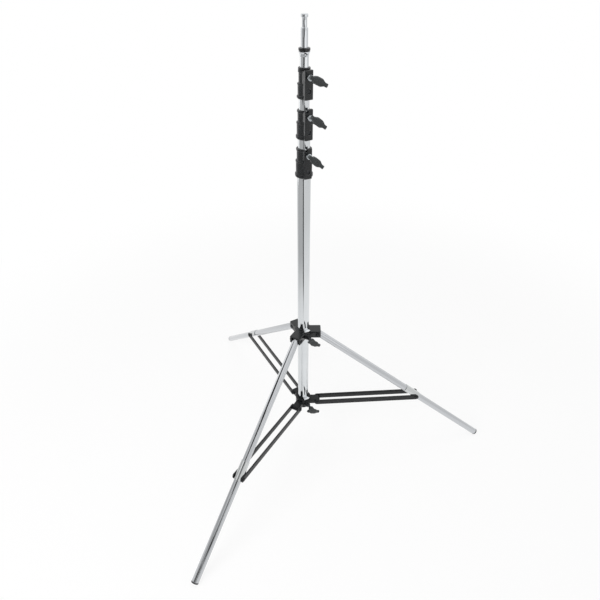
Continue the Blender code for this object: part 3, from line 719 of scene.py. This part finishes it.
def wingBar():
    # A bar along Y whose oval middle thins to squarer tips, lofted through its sections
    shape = clampShape
    stations, points = 40, 32
    slim, fuller = shape["slimming"]
    square, rounder = shape["squareness"]
    bm = bmesh.new()
    rings = []
    for station in range(stations + 1):
        y = shape["halfSpan"] * (2 * station / stations - 1)
        share = (abs(y) - shape["plateau"]) / (shape["shoulder"] - shape["plateau"])
        share = min(max(share, 0), 1)
        blend = 0.5 + 0.5 * math.cos(math.pi * share)
        tall = shape["tip"] + (shape["middle"] - shape["tip"]) * blend
        thick = 0.5 * shape["thickness"] * (slim + fuller * blend)
        power = 2 / (square - rounder * blend)
        ring = []
        for k in range(points):
            angle = 2 * math.pi * k / points
            c, s = math.cos(angle), math.sin(angle)
            x = thick * math.copysign(abs(c) ** power, c)
            z = tall * math.copysign(abs(s) ** power, s)
            ring.append(bm.verts.new((x, y, z)))
        rings.append(ring)
    return bridged(bm, rings, capped=True)


def makeClamp(prefix, tube, face, material):
    shape = clampShape
    standoff, tilt = shape["handles"][prefix]
    middle = face + standoff
    height, side = clampSide(prefix)
    hub, hubEnd = shape["hubRadius"], -shape["hubLength"]
    collar, thin = shape["collarRadius"], shape["screwRadius"]
    collarLow = face + gap
    collarHigh = collarLow + shape["collarLength"]
    axis = placed(axisX, 0, height, side)
    body, name = prefix + "_knob", prefix.replace("_", "")

    core = thin - shape["threadDepth"]
    corners = [
        (thin, tube + shape["shoeStack"], 0.4),
        (thin, collarLow - 0.1, 0.3),
        (collar, collarLow, 0.7),
        (collar, collarHigh, 1.2),
        (core + 1.2, collarHigh + 0.8, 0.4),
        (core, collarHigh + 1.6, 0.3),
        (core, middle - gap, 0.4),
    ]
    length = middle + hubEnd - collarHigh - 1.0
    values = {
        "Turns": length / shape["pitch"],
        "Radius": core,
        "Start": collarHigh + 1.4,
        "Length": length,
        "Ridge": shape["ridge"],
        "Material": material,
    }
    mesh = grown(turnedSolid(corners, 48), windThread, values)
    fitPiece(name + "Screw", mesh, axis @ alongX, material, body, [prefix + "_screw"])

    neck, stem = shape["neckStart"] + face - middle, shape["neckRadius"]
    corners = [
        (stem, neck, 1.0),
        (stem, hubEnd - 1.5, 1.5),
        (hub, hubEnd + 1.0, 1.5),
        (hub, -shape["thickness"] * 0.5, 1.0),
        (hub - 2.5, 0, 1.0),
    ]
    steps = [
        ("UNION", laid(turnedSolid(corners, 64), alongX)),
        bored(thin + 1.2, neck - 2, 0.2, alongX),
    ]
    mesh = carved(wingBar(), steps, shape["skin"], shape["relax"])
    tilted, nodes = axis @ placed(middle, roll=tilt), [prefix + "_handle"]
    fitPiece(name + "Handle", mesh, tilted, handleEnamel, body, nodes)


def hexagon(across):
    radius = across / math.sqrt(3)
    return arc(radius, 0, 300, 5)


capShape = {
    "length": 7.0,
    "shank": 2.5,
    "head": 4.2,
    "headDepth": 2.1,
    "sunk": 0.9,  # under the block's face
    "socket": 4.0,  # across its flats
    "socketDepth": 1.9,
    "edge": 0.12,
}


def makeCapScrew(number, place, face):
    shape = capShape
    head, shank = shape["head"], shape["shank"]
    end, under, top = (face - shape[name] for name in ("length", "headDepth", "sunk"))
    corners = [(shank, end, 0.3), (shank, under), (head, under, 0.2), (head, top, 0.7)]
    socket = prism(hexagon(shape["socket"]), face - shape["socketDepth"], face + 2)
    mesh = carved(turnedSolid(corners, 48), [("DIFFERENCE", socket)], edge=shape["edge"])
    body = tubeBodies[number - 1]
    node = f"lock_{number}_cap_screw"
    fitPiece(f"lock{number}CapScrew", mesh, place @ alongX, blackScrew, body, [node])


# The top fitting

topShape = {
    "flareHeight": 10.0,
    "flareWall": 3.2,  # over the riser, as the next two
    "waistWall": 0.7,
    "shoulderWall": 0.9,
    "stud": 8.0,  # a radius, as those of the ring and the pin
    "grooveRise": 40.0,  # over the ring
    "grooveLength": 18.0,
    "grooveDepth": 2.2,
    "grooveSlope": 1.5,
    "ringFoot": 12.2,
    "ring": 13.5,
    "pin": 1.7,
    "pinLength": 6,
    "pinRise": 4.5,
    "pinSocket": 1.6,
}


def makeTopFitting():
    shape = topShape
    low, high = nodeBox("stud")
    ringLow, ringHigh = nodeBox("stud_ring")
    flareTop = ringLow.z - gap
    tubeTop = flareTop - shape["flareHeight"]
    riser, stud = tubeRadii[3], shape["stud"]
    spigot = riser - stand["wall"] - gap
    flare, groove = riser + shape["flareWall"], stud - shape["grooveDepth"]
    grooveLow = ringHigh.z + shape["grooveRise"]
    grooveHigh = grooveLow + shape["grooveLength"]
    corners = [
        (spigot, low.z, 0.6),
        (spigot, tubeTop),
        (riser - 0.1, tubeTop, 0.3),
        (riser + shape["waistWall"], tubeTop + 2.5, 1.5),
        (riser + shape["shoulderWall"], flareTop - 4.4, 1.2),
        (flare, flareTop - 1.3, 1.0),
        (flare, flareTop, 0.5),
        (stud, flareTop),
        (stud, grooveLow - shape["grooveSlope"], 0.4),
        (groove, grooveLow, 0.5),
        (groove, grooveHigh, 0.5),
        (stud, grooveHigh + shape["grooveSlope"], 0.4),
        (stud, high.z - 1.0, 0.5),
        (stud - 1.0, high.z, 0.4),
    ]
    mesh = meshOf(turnedSolid(corners))
    fitPiece("topStud", mesh, onColumn(0), chromeStud, "riser_3", ["stud"])

    inner, outer = stud + gap, shape["ring"]
    corners = [
        (inner, ringLow.z, 0.3),
        (shape["ringFoot"], ringLow.z, 0.6),
        (outer, ringLow.z + 1.8, 0.8),
        (outer, ringHigh.z - 0.2, 1.3),
        (inner + 1.4, ringHigh.z, 0.4),
        (inner, ringHigh.z - 0.8, 0.3),
    ]
    mesh = meshOf(turnedRing(corners))
    fitPiece("studRing", mesh, onColumn(0), glossBlack, "riser_3", ["stud_ring"])

    surface, radius = riser + 1.3, shape["pin"]
    end, head = surface - shape["pinLength"], surface + 0.2
    pin = [(radius, end, 0.2), (radius, head, 0.4)]
    socket = prism(hexagon(shape["pinSocket"]), surface - 1.2, surface + 2)
    mesh = carved(turnedSolid(pin, 32), [("DIFFERENCE", socket)])
    side = clampSide("lock_3")[1]
    place = placed(axisX, 0, tubeTop + shape["pinRise"], side) @ alongX
    fitPiece("studGrubScrew", mesh, place, blackScrew, "riser_3", ["stud_pin"])


lockRing = {"wall": 4.5, "round": 2.6}


def makeLockRing():
    low, high = nodeBox("lock_3_ring")
    inner, outer = tubeRadii[3] + gap, tubeRadii[3] + lockRing["wall"]
    corners = [
        (inner, low.z, 0.2),
        (outer, low.z, 0.5),
        (outer, high.z - 0.2, lockRing["round"]),
        (inner + 0.8, high.z, 0.5),
        (inner, high.z - 0.8, 0.3),
    ]
    mesh = meshOf(turnedRing(corners))
    fitPiece("lock3Ring", mesh, onColumn(0), glossBlack, "riser_2", ["lock_3_ring"])


# The two collars

collarShape = {
    "upper": {
        "wall": 9.5,
        "rise": 16.2,
        "drop": 9.0,
        "hinge": "leg_right_hinge",
        "pins": "legPivotBolts",
        "pinNode": "leg_{}_pivot_bolt",
    },
    "lower": {
        "wall": 8.0,
        "rise": 18.2,
        "drop": 16.8,
        "hinge": "brace_right_hinge",
        "pins": "bracePivotPins",
        "pinNode": "brace_{}_pivot_pin",
    },
    "bossRadius": 9.0,
    "bossReach": 14.0,
    "bossRoot": 11.0,
    "notchHalf": 10.0,
    "notchRise": 9.5,
    "clevisEnd": 9.9,
    "clevisHalf": 18.0,
    "clevisRound": 2.2,
    "slotHalf": 11.9,
    "slotTop": 12.3,
    "recess": (6.6, 0.8),  # radius and depth, round a pivot bolt's ends
    "lugRadius": 9.0,
    "lugHalf": 13.0,
    "lugRound": 1.2,
    "clipHalf": 22.0,
    "clipReach": 9.5,
    "clipOver": 5.0,
    "skin": 0.8,
    "relax": 4,
}


def atLeg(side, reach):
    return spun(stand["legSides"][side]) @ moved(reach)


def clevises(reach, rise, drop):
    # At each leg a square block, with the leg's slot and a recess round each end of its bolt
    shape = collarShape
    half, slotHalf, end = shape["clevisHalf"], shape["slotHalf"], shape["clevisEnd"]
    recess, depth = shape["recess"]
    blocks, cuts = [], []
    for side in stand["legSides"]:
        at = atLeg(side, reach)
        ears = block((0.5 * tubeRadii[0] - reach, end), (-half, half), (gap - drop, rise - gap))
        blocks.append(("UNION", laid(roundEdges(ears, shape["clevisRound"], 4), at)))
        levels = (-drop - 4, shape["slotTop"])
        slot = block((-shape["slotTop"], end + 4), (-slotHalf, slotHalf), levels)
        cuts.append(("DIFFERENCE", laid(slot, at)))
        for low, high in ((half - depth, half + 4), (-half - 4, depth - half)):
            cuts.append(bored(recess, low, high, at @ alongY))
    return blocks + cuts


def lugs(reach, rise, drop):
    # At each pair of braces a round-ended lug
    radius, half = collarShape["lugRadius"], collarShape["lugHalf"]
    root = 0.5 * tubeRadii[0] - reach
    outline = [(root, radius), (root, -radius)] + arc(radius, -90, 90)
    joins = []
    for side in stand["legSides"]:
        lug = roundEdges(prism(outline, -half, half, "Y"), collarShape["lugRound"])
        joins.append(("UNION", laid(lug, atLeg(side, reach))))
    return joins


def makeCollar(kind, body, material, ownSteps, pinHalf):
    # A ring on the column with a boss for its clamp screw, a notch over the boss and its own
    # pivots for the legs or the braces
    shape, own = collarShape, collarShape[kind]
    pivot = joints[own["hinge"]]["pos_m"]
    reach, height = pivot[0] / mm - axisX, pivot[2] / mm
    rise, drop, column = own["rise"], own["drop"], tubeRadii[0]
    face, outer = column + shape["bossReach"], column + own["wall"]
    node = kind + "_collar"
    radial = facing(node)
    boss = [
        (shape["bossRoot"], 0.5 * column),
        (shape["bossRoot"], column + 8.0, 1.0),
        (shape["bossRadius"], column + 10.0, 1.0),
        (shape["bossRadius"], face, 1.0),
    ]
    half = shape["notchHalf"]
    notch = block((0.5 * column, face + 2), (-half, half), (shape["notchRise"], rise + 2))
    screwHole = clampShape["screwRadius"] + gap
    steps = [
        ("UNION", laid(turnedSolid(boss, 48), radial @ alongX)),
        *ownSteps(reach, rise, drop),
        ("DIFFERENCE", laid(notch, radial)),
        bored(column + gap, -drop - 2, rise + 2),
        bored(screwHole, 0.5 * column, face + 2, radial @ alongX),
    ]
    ring = turnedSolid([(outer, -drop, 2.0), (outer, rise, 2.0)])
    mesh = carved(ring, steps, shape["skin"], shape["relax"])
    place = onColumn(height)
    fitPiece(kind + "Collar", mesh, place, material, body, [node])
    makeClamp(node, column, face, blackScrew)
    # A near-white clip in the notch paints a highlight there
    levels = (shape["notchRise"], rise + shape["clipOver"])
    makeHighlightClip(kind + "CollarClip", shape, column, levels, radial, height, body)
    nodes = [own["pinNode"].format(side) for side in stand["legSides"]]
    values = {"Count": len(nodes), "Reach": reach, "Material": blackScrew}
    mesh = grown(laid(pivotPin(pinHalf), alongY), repeatRound, values)
    fitPiece(own["pins"], mesh, place, blackScrew, body, nodes)


pinShape = {"radius": 3.0, "head": 5.5, "headHeight": 3.0, "washer": 6.3, "washerHeight": 0.8}


def pivotPin(half):
    # A pin right across: one flat head, one domed head, and a washer under each
    radius, head, washer = (pinShape[name] for name in ("radius", "head", "washer"))
    out = half + gap
    top, under = out + pinShape["headHeight"], out + pinShape["washerHeight"]
    corners = [
        (head, -top, 0.8),
        (head, -under, 0.2),
        (washer, -under, 0.2),
        (washer, -out, 0.2),
        (radius, -out),
        (radius, out),
        (washer, out, 0.2),
        (washer, under, 0.2),
        (head, under, 0.2),
        (head - 0.4, out + 2.2, 1.4),
        (head - 3.0, top, 1.2),
    ]
    return turnedSolid(corners, 40)


# The legs and their brackets

legShape = {
    "radius": 11.0,
    "endMargin": 0.2,
    "footLip": 4.0,
    "footSpigot": 15.0,
    "footFlat": 1.5,  # cut off its lowest corner
    "braceReach": 390.0,  # of a brace's outer pivot from the column's axis
    "bracketHalf": 13.0,
    "bracketLength": 60.0,
    "bracketBelow": 9.0,
    "bracketSkirt": -3.0,
    "boltRadius": 3.0,
}


def boltHole(place=Matrix()):
    # Right across a leg or a brace, with room for a bolt
    across = stand["across"]
    return bored(legShape["boltRadius"] + gap, -across, across, place @ alongY)


def makeLeg(side):
    shape = legShape
    place = onHinge(f"leg_{side}_hinge", side, -stand["spread"])
    body = f"leg_{side}"
    pivotZ = joints[f"leg_{side}_hinge"]["pos_m"][2] / mm
    footZ = shape["radius"] * math.sin(lean) - shape["footFlat"]
    length = (pivotZ - footZ) / math.cos(lean)
    lip = shape["footLip"] - length
    radius, bore = shape["radius"], shape["radius"] - stand["wall"]
    rounded = radius + shape["endMargin"]

    low, high = lip + gap, rounded + 2
    corners = [(radius, low, 0.4), (radius, high), (bore, high), (bore, low, 0.4)]
    outline = arc(rounded, 0, 180, 32) + [(-rounded, lip - 4), (rounded, lip - 4)]
    steps = [
        ("INTERSECT", prism(outline, -rounded - 2, rounded + 2, "Y")),
        boltHole(),
    ]
    mesh = carved(turnedRing(corners), steps)
    fitPiece(f"{side}LegTube", mesh, place, shadedChromeLeg, body, [f"leg_{side}_tube"])

    corners = [
        (radius, -length, 1.2),
        (radius, lip, 0.4),
        (bore - gap, lip),
        (bore - gap, lip + shape["footSpigot"], 0.6),
    ]
    foot = turnedSolid(corners)
    floor = {
        "plane_co": place.inverted() @ Vector((0, 0, 0)),
        "plane_no": place.inverted().to_3x3() @ Vector((0, 0, -1)),
        "clear_outer": True,
    }
    everything = foot.verts[:] + foot.edges[:] + foot.faces[:]
    bmesh.ops.bisect_plane(foot, geom=everything, **floor)
    bmesh.ops.holes_fill(foot, edges=[edge for edge in foot.edges if edge.is_boundary])
    mesh = meshOf(foot)
    fitPiece(f"{side}Foot", mesh, place, footRubber, body, [f"leg_{side}_foot"])
    makeBracket(side, place, body)


def makeBracket(side, place, body):
    # A pressed saddle over the leg's top whose cheeks come down to the braces' bolt
    shape = legShape
    pivotReach = joints[f"leg_{side}_hinge"]["pos_m"]
    column = Vector((axisX * mm, 0))
    reach = (Vector(pivotReach[:2]) - column).length / mm
    down = (shape["braceReach"] - reach) / math.sin(lean)
    low = -down - shape["bracketBelow"]
    high = low + shape["bracketLength"]
    inner, outer, drop = shape["radius"] + gap, shape["bracketHalf"], -shape["radius"]
    saddle = arc(outer, -90, 90, 40) + [(drop, outer), (drop, inner)]
    saddle += arc(inner, 90, -90, 40) + [(drop, -inner), (drop, -outer)]
    tab, skirt = low + 2 * shape["bracketBelow"], shape["bracketSkirt"]
    corners = [(drop - 1, low, 7), (outer + 1, low, 3), (outer + 1, high, 3)]
    corners += [(skirt, high, 3), (skirt, tab + 14, 6), (drop - 1, tab + 4, 4)]
    trim = prism(softened(corners, closed=True, steps=8), -outer - 2, outer + 2, "Y")
    steps = [("INTERSECT", trim), boltHole(moved(z=-down))]
    mesh = carved(prism(saddle, low, high), steps, edge=0.35)
    node = f"leg_{side}_bracket"
    fitPiece(f"{side}Bracket", mesh, place, chromeBracket, body, [node])

    half, radius = shape["bracketHalf"], shape["boltRadius"]
    corners = [(radius, -half, 0.4), (radius, half, 0.4)]
    mesh = meshOf(turnedSolid(corners, 40))
    at = place @ moved(z=-down) @ alongY
    node = f"leg_{side}_cross_bolt"
    fitPiece(f"{side}CrossBolt", mesh, at, blackScrew, body, [node])


# The braces

braceShape = {
    "width": 19.2,
    "thickness": 3.9,
    "inner": 13.3,  # from the leg's middle to a bar
    "rivet": 5.5,
    "rivetHeight": 3.0,
    "washer": 6.7,
    "edge": 0.7,  # rounding of a bar
}


def makeBraces(side):
    shape = braceShape
    hinge = Vector(joints[f"brace_{side}_hinge"]["pos_m"]) / mm
    legHinge = Vector(joints[f"leg_{side}_hinge"]["pos_m"]) / mm
    legReach = math.hypot(legHinge.x - axisX, legHinge.y)
    reach = math.hypot(hinge.x - axisX, hinge.y)
    run = legShape["braceReach"] - reach
    drop = (legShape["braceReach"] - legReach) / math.tan(lean)
    climb = legHinge.z - drop - hinge.z
    length = math.hypot(run, climb)
    place = onHinge(f"brace_{side}_hinge", side, -math.degrees(math.atan2(climb, run)))
    half = shape["width"] / 2
    outline = arc(half, 90, 270) + arc(half, -90, 90, x=length)
    inner, outer = shape["inner"], shape["inner"] + shape["thickness"]
    radius, washer, top = shape["rivet"], shape["washer"], outer + shape["rivetHeight"]
    corners = [
        (washer, outer - 1),
        (washer, outer + 0.8, 0.3),
        (radius, outer + 0.8, 0.2),
        (radius, top - 0.6, 1.0),
        (radius - 2.5, top, 1.0),
    ]
    for hand, sign in (("left", 1), ("right", -1)):
        low, high = sorted((sign * inner, sign * outer))
        bar = roundEdges(prism(outline, low, high, "Y"), shape["edge"])
        turn = alongY if sign > 0 else spun(180, "X") @ alongY
        rivet = laid(turnedSolid(corners, 48), moved(length) @ turn)
        mesh = carved(bar, [("UNION", rivet), boltHole()])
        name, node = f"{side}Brace{hand.title()}", f"brace_{side}_{hand}"
        fitPiece(name, mesh, place, braceBlack, f"braces_{side}", [node])


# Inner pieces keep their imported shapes


def dressInnerNodes():
    finishes = {"_guide": nylon, "_plug": nylon, "_shoe": brass}
    for node, shown in frame["nodes"].items():
        for ending, material in finishes.items():
            if node.endswith(ending):
                shown.data.materials.clear()
                shown.data.materials.append(material)


# Camera, lamps, floor and the white round the stand

shot = {
    "image": 600,
    "focal": 528.88,  # in pixels
    "middle": (303.4, 323.05),
    "side": -90.88,  # of the camera round the column, in degrees
    "tilt": 37.9,
    "roll": 0.209,
    "distance": 1.3011,
    "height": 1.5344,
}


def makeCamera():
    data = bpy.data.cameras.new("photoView")
    data.sensor_width = 36
    data.lens = data.sensor_width * shot["focal"] / shot["image"]
    data.shift_x = 0.5 - shot["middle"][0] / shot["image"]
    data.shift_y = shot["middle"][1] / shot["image"] - 0.5
    camera = newObject("photoView", data)
    spot = spun(shot["side"] + 90) @ moved(axisX * mm, -shot["distance"], shot["height"])
    camera.matrix_world = spot @ spun(90 - shot["tilt"], "X") @ spun(shot["roll"])
    bpy.context.scene.camera = camera


studio = {
    "ambient": 0.42,
    "paper": 0.93,
    "paperGlow": 0.86,  # how far the floor near the stand is lifted towards white
    "fade": (0.9, 2.2),  # metres from the stand, where the floor turns plain white
    "floorSize": 30,
    "floorLevel": -0.0003,
    "cardLift": 0.0004,  # of each card over the one below it
    "mirrored": ((0.5, 0.95), (2.2, 0.76)),  # metres and brightness of the floor, as metal sees it
    "lampAim": 0.7,  # height on the column
    # Place and size in metres, and power in watts
    "lamps": (
        ("key", (-1.9, -1.7, 2.3), 1.5, 52),
        ("fill", (2.2, -1.2, 1.6), 1.6, 10),
        ("top", (0.2, 0.6, 3.0), 1.8, 18),
    ),
    # Cards that only polished surfaces see: sides in degrees, then metres and brightness
    "floorCards": (
        (-204, -111, (0.30, 12), (0.75, 0.90), (1.7, 0.50)),
        (-110, -94, (0.60, 14), (0.68, 0.85), (1.2, 0.04)),
    ),
    # Sides, distance, lowest and highest, and brightness
    "wallCards": (
        (-200, -107, 3.1, 0.55, 1.7, 0.52),
        (-200, -112, 3.1, 1.7, 4.6, 0.72),
        (-107, -91, 2.7, 0.35, 0.55, 0.28),
        (-107, -99, 2.7, 0.55, 0.80, 0.50),
        (-99, -81, 2.7, 0.55, 0.80, 0.02),
        (-134, -113, 2.7, 0.80, 1.06, 0.03),
        (-113, -86, 2.7, 0.80, 1.06, 0.45),
        (-62, -36, 2.7, 0.80, 1.15, 1.4),
        (-119, -86, 2.65, 1.06, 1.4, 0.03),
        (-114, -88, 2.65, 1.4, 2.1, 0.22),
        (-140, -88, 2.6, 2.1, 2.5, 0.03),
        (-184, -110, 2.55, 2.5, 4.2, 0.03),
        (-89, 25, 3.3, 0.0, 3.0, 0.82),
        (148, 164, 3.0, 0.0, 2.3, 1.7),
        (-14, 6, 2.8, 2.1, 3.7, 3.0),
    ),
}


def seenRays(tree, names):
    total = addNode(tree, "ShaderNodeLightPath", give=names[0])
    for name in names[1:]:
        other = addNode(tree, "ShaderNodeLightPath", give=name)
        total = addNode(tree, "ShaderNodeMath", {0: total, 1: other}, operation="MAXIMUM")
    return total


def makeWorld():
    world = bpy.data.worlds.new("studio")
    world.use_nodes = True
    tree = world.node_tree
    tree.nodes.clear()
    seen = seenRays(tree, ["Is Camera Ray", "Is Glossy Ray", "Is Transmission Ray"])
    white = linear("#ffffff")
    soft = addNode(tree, "ShaderNodeBackground", {"Color": white, "Strength": studio["ambient"]})
    plain = addNode(tree, "ShaderNodeBackground", {"Color": white, "Strength": 1.0})
    both = addNode(tree, "ShaderNodeMixShader", {0: seen, 1: soft, 2: plain})
    addNode(tree, "ShaderNodeOutputWorld", {"Surface": both})
    bpy.context.scene.world = world


def stageSheet(name, corners, material):
    mesh = bpy.data.meshes.new(name)
    mesh.from_pydata(corners, [], [tuple(range(len(corners)))])
    mesh.materials.append(material)
    sheet = newObject(name, mesh)
    return sheet


def levelAway(tree, near, far):
    # A brightness that changes with the distance from the stand
    spot = addNode(tree, "ShaderNodeTexCoord", give="Object")
    away = addNode(tree, "ShaderNodeVectorMath", {0: spot}, "Value", operation="LENGTH")
    inputs = {"From Min": near[0], "From Max": far[0], "To Min": near[1], "To Max": far[1]}
    inputs["Value"] = away
    return addNode(tree, "ShaderNodeMapRange", inputs, interpolation_type="SMOOTHSTEP")


def makeFloor():
    # A pale paper floor that takes the stand's shadow and turns plain white further out
    material, tree = newTree("paleFloor")
    fadeStart, fadeEnd = studio["fade"]
    lifted = levelAway(tree, (fadeStart, studio["paperGlow"]), (fadeEnd, 1))
    toCamera = addNode(tree, "ShaderNodeLightPath", give="Is Camera Ray")
    lifted = addNode(tree, "ShaderNodeMath", {0: toCamera, 1: lifted}, operation="MULTIPLY")
    toMetal = seenRays(tree, ["Is Glossy Ray", "Is Transmission Ray"])
    share = addNode(tree, "ShaderNodeMath", {0: lifted, 1: toMetal}, operation="MAXIMUM")
    mirrored = levelAway(tree, *studio["mirrored"])
    level = addNode(tree, "ShaderNodeMix", {0: toMetal, 2: 1.0, 3: mirrored})
    glow = addNode(tree, "ShaderNodeEmission", {"Strength": level})
    grey = studio["paper"]
    paper = addNode(tree, "ShaderNodeBsdfDiffuse", {"Color": (grey, grey, grey, 1)})
    both = addNode(tree, "ShaderNodeMixShader", {0: share, 1: paper, 2: glow})
    addNode(tree, "ShaderNodeOutputMaterial", {"Surface": both})
    size, low = studio["floorSize"], studio["floorLevel"]
    square = ((-size, -size), (size, -size), (size, size), (-size, size))
    stageSheet("floor", [(x, y, low) for x, y in square], material)


def makeLamps():
    target = Vector((axisX * mm, 0, studio["lampAim"]))
    for name, place, size, watts in studio["lamps"]:
        data = bpy.data.lights.new(name, "AREA")
        data.shape = "SQUARE"
        data.size = size
        data.energy = watts
        lamp = newObject(name, data)
        lamp.location = place
        lamp.rotation_euler = (target - Vector(place)).to_track_quat("-Z", "Y").to_euler()
        lamp.visible_glossy = False


def addCard(name, corners, near, far):
    # Grey, black and bright cards give the chrome its bands, as in a studio
    material, tree = newTree(name)
    glow = addNode(tree, "ShaderNodeEmission", {"Strength": levelAway(tree, near, far)})
    addNode(tree, "ShaderNodeOutputMaterial", {"Surface": glow})
    card = stageSheet(name, corners, material)
    card.visible_camera = False
    card.visible_diffuse = False
    card.visible_shadow = False
    card.visible_transmission = False


def makeCards():
    for number, (first, last, reach, near, far) in enumerate(studio["floorCards"], 1):
        lift = studio["cardLift"] * number
        corners = [(x, y, lift) for x, y in arc(reach[0], first, last, 16)]
        corners += [(x, y, lift) for x, y in arc(reach[1], last, first, 16)]
        addCard(f"floorCard{number}", corners, near, far)
    for number, (first, last, reach, low, high, level) in enumerate(studio["wallCards"], 1):
        steps = max(1, round((last - first) / 10))
        ends = arc(reach, first, last, steps)
        for part, (one, other) in enumerate(zip(ends, ends[1:]), 1):
            corners = [(*one, low), (*other, low), (*other, high), (*one, high)]
            addCard(f"wallCard{number}part{part}", corners, (0, level), (1, level))


print("tubes")
makeTubes()
print("locks")
for lockNumber in (1, 2, 3):
    makeLockCasting(lockNumber)
makeLockRing()
makeTopFitting()
print("collars")
makeCollar("upper", "upper_collar", castEnamel, clevises, collarShape["clevisHalf"] - 0.5)
makeCollar("lower", "column", lowerEnamel, lugs, braceShape["inner"] + braceShape["thickness"])
print("legs")
for legSide in stand["legSides"]:
    makeLeg(legSide)
    makeBraces(legSide)
dressInnerNodes()
print("studio")
makeCamera()
makeWorld()
makeFloor()
makeLamps()
makeCards()
bpy.context.scene.view_settings.view_transform = "Standard"

bpy.context.view_layer.update()
